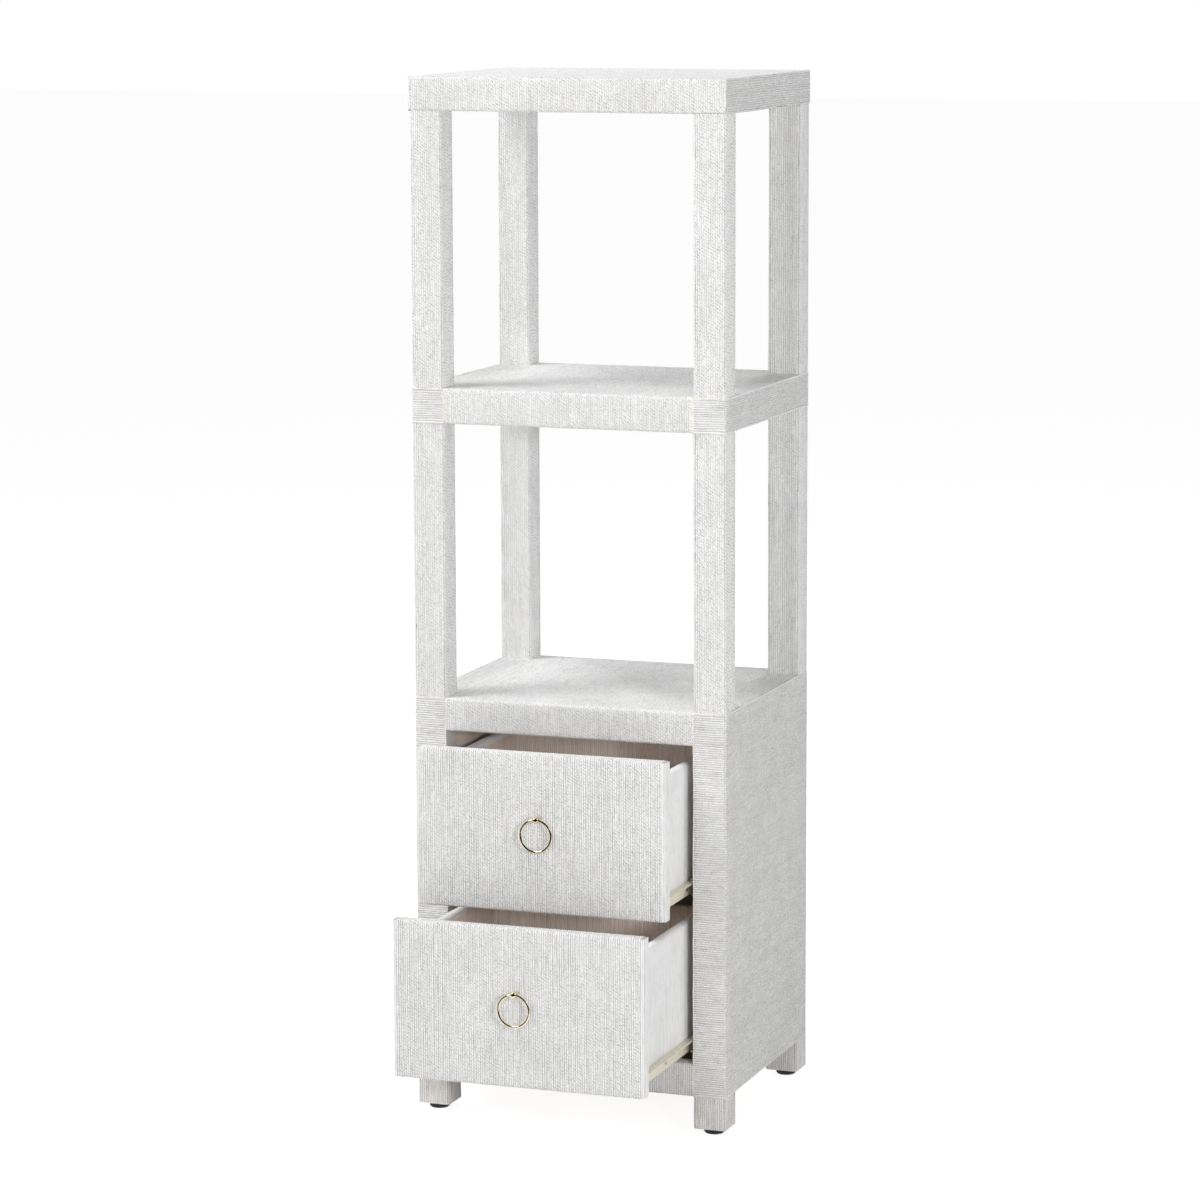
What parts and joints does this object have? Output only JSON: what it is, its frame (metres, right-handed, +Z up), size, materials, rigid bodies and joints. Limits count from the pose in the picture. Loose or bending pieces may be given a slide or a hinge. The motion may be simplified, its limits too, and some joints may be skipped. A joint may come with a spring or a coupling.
{
  "type": "tall cabinet",
  "caption": "Tall open shelf tower wrapped in whitewashed cord, with corner posts over a drawer base on roller slides, each drawer opened by a brass ring pull.",
  "frame": {"origin": "on the floor, under the middle of the tower's footprint without its drawers", "axes": "+Z up, -Y towards the front where the drawers open, +X to the right seen from the front"},
  "size_m": [0.4, 0.5242, 1.273],
  "materials": {
    "cord_wrap": "whitewashed cane cord wound closely over board, matt",
    "painted_board": "white painted board, eggshell",
    "bare_board": "bare brown board inside the case and the drawers, matt",
    "dowel_wood": "bare beech",
    "cream_steel": "cream epoxy coat, satin",
    "nylon": "natural nylon",
    "screw_steel": "zinc plated",
    "brass": "polished",
    "black_glide": "black, matt"
  },
  "bodies": {
    "case": {"top_panel": "cord_wrap", "back_left_leg": "cord_wrap", "back_panel": "painted_board", "back_right_leg": "cord_wrap", "bottom_panel": "bare_board", "bottom_rail": "cord_wrap", "case_slide_screws": "screw_steel", "deck_panel": "cord_wrap", "foot_glides": "black_glide", "front_left_leg": "cord_wrap", "front_right_leg": "cord_wrap", "left_side_panel": "cord_wrap", "left_slide_packer": "bare_board", "lower_back_left_post": "cord_wrap", "lower_back_right_post": "cord_wrap", "lower_front_left_post": "cord_wrap", "lower_front_right_post": "cord_wrap", "lower_left_case_slide": "cream_steel", "lower_right_case_slide": "cream_steel", "middle_shelf": "cord_wrap", "post_dowels": "dowel_wood", "right_side_panel": "cord_wrap", "right_slide_packer": "bare_board", "top_rail": "cord_wrap", "upper_back_left_post": "cord_wrap", "upper_back_right_post": "cord_wrap", "upper_front_left_post": "cord_wrap", "upper_front_right_post": "cord_wrap", "upper_left_case_slide": "cream_steel", "upper_right_case_slide": "cream_steel"},
    "lower_drawer": {"lower_drawer_back": "painted_board", "lower_drawer_bottom": "bare_board", "lower_drawer_front": "cord_wrap", "lower_drawer_left_side": "painted_board", "lower_drawer_left_slide": "cream_steel", "lower_drawer_pull_eye": "brass", "lower_drawer_right_side": "painted_board", "lower_drawer_right_slide": "cream_steel", "lower_drawer_screws": "screw_steel"},
    "lower_drawer_left_rear_roller": {"lower_drawer_left_rear_roller": "nylon"},
    "lower_drawer_pull_ring": {"lower_drawer_pull_ring": "brass"},
    "lower_drawer_right_rear_roller": {"lower_drawer_right_rear_roller": "nylon"},
    "lower_left_front_roller": {"lower_left_front_roller": "nylon"},
    "lower_right_front_roller": {"lower_right_front_roller": "nylon"},
    "upper_drawer": {"upper_drawer_back": "painted_board", "upper_drawer_bottom": "bare_board", "upper_drawer_front": "cord_wrap", "upper_drawer_left_side": "painted_board", "upper_drawer_left_slide": "cream_steel", "upper_drawer_pull_eye": "brass", "upper_drawer_right_side": "painted_board", "upper_drawer_right_slide": "cream_steel", "upper_drawer_screws": "screw_steel"},
    "upper_drawer_left_rear_roller": {"upper_drawer_left_rear_roller": "nylon"},
    "upper_drawer_pull_ring": {"upper_drawer_pull_ring": "brass"},
    "upper_drawer_right_rear_roller": {"upper_drawer_right_rear_roller": "nylon"},
    "upper_left_front_roller": {"upper_left_front_roller": "nylon"},
    "upper_right_front_roller": {"upper_right_front_roller": "nylon"}
  },
  "joints": [
    {"name": "upper_drawer_slide", "type": "slide", "parent": "case", "child": "upper_drawer", "axis": [0, -1, 0], "range_m": [-0.1, 0.09]},
    {"name": "upper_ring_swing", "type": "hinge", "parent": "upper_drawer", "child": "upper_drawer_pull_ring", "pos_m": [0, -0.278, 0.4009], "axis": [-1, 0, 0], "range_deg": [-15, 110]},
    {"name": "upper_left_front_roller_turn", "type": "hinge", "parent": "case", "child": "upper_left_front_roller", "pos_m": [-0.15525, -0.138, 0.3029], "axis": [1, 0, 0], "range_deg": [-820, 740]},
    {"name": "upper_drawer_left_rear_roller_turn", "type": "hinge", "parent": "upper_drawer", "child": "upper_drawer_left_rear_roller", "pos_m": [-0.15225, -0.009, 0.3017], "axis": [1, 0, 0], "range_deg": [-820, 740]},
    {"name": "upper_right_front_roller_turn", "type": "hinge", "parent": "case", "child": "upper_right_front_roller", "pos_m": [0.15525, -0.138, 0.3029], "axis": [1, 0, 0], "range_deg": [-820, 740]},
    {"name": "upper_drawer_right_rear_roller_turn", "type": "hinge", "parent": "upper_drawer", "child": "upper_drawer_right_rear_roller", "pos_m": [0.15225, -0.009, 0.3017], "axis": [1, 0, 0], "range_deg": [-820, 740]},
    {"name": "lower_drawer_slide", "type": "slide", "parent": "case", "child": "lower_drawer", "axis": [0, -1, 0], "range_m": [-0.177, 0.013]},
    {"name": "lower_ring_swing", "type": "hinge", "parent": "lower_drawer", "child": "lower_drawer_pull_ring", "pos_m": [0, -0.355, 0.2059], "axis": [-1, 0, 0], "range_deg": [-15, 110]},
    {"name": "lower_left_front_roller_turn", "type": "hinge", "parent": "case", "child": "lower_left_front_roller", "pos_m": [-0.15525, -0.138, 0.1079], "axis": [1, 0, 0], "range_deg": [-1450, 110]},
    {"name": "lower_drawer_left_rear_roller_turn", "type": "hinge", "parent": "lower_drawer", "child": "lower_drawer_left_rear_roller", "pos_m": [-0.15225, -0.086, 0.1067], "axis": [1, 0, 0], "range_deg": [-1450, 110]},
    {"name": "lower_right_front_roller_turn", "type": "hinge", "parent": "case", "child": "lower_right_front_roller", "pos_m": [0.15525, -0.138, 0.1079], "axis": [1, 0, 0], "range_deg": [-1450, 110]},
    {"name": "lower_drawer_right_rear_roller_turn", "type": "hinge", "parent": "lower_drawer", "child": "lower_drawer_right_rear_roller", "pos_m": [0.15225, -0.086, 0.1067], "axis": [1, 0, 0], "range_deg": [-1450, 110]}
  ],
  "couplings": [
    {"joint": "upper_left_front_roller_turn", "follows": "upper_drawer_slide", "rad_per_m": 142.86},
    {"joint": "upper_drawer_left_rear_roller_turn", "follows": "upper_drawer_slide", "rad_per_m": 142.86},
    {"joint": "upper_right_front_roller_turn", "follows": "upper_drawer_slide", "rad_per_m": 142.86},
    {"joint": "upper_drawer_right_rear_roller_turn", "follows": "upper_drawer_slide", "rad_per_m": 142.86},
    {"joint": "lower_left_front_roller_turn", "follows": "lower_drawer_slide", "rad_per_m": 142.86},
    {"joint": "lower_drawer_left_rear_roller_turn", "follows": "lower_drawer_slide", "rad_per_m": 142.86},
    {"joint": "lower_right_front_roller_turn", "follows": "lower_drawer_slide", "rad_per_m": 142.86},
    {"joint": "lower_drawer_right_rear_roller_turn", "follows": "lower_drawer_slide", "rad_per_m": 142.86}
  ]
}
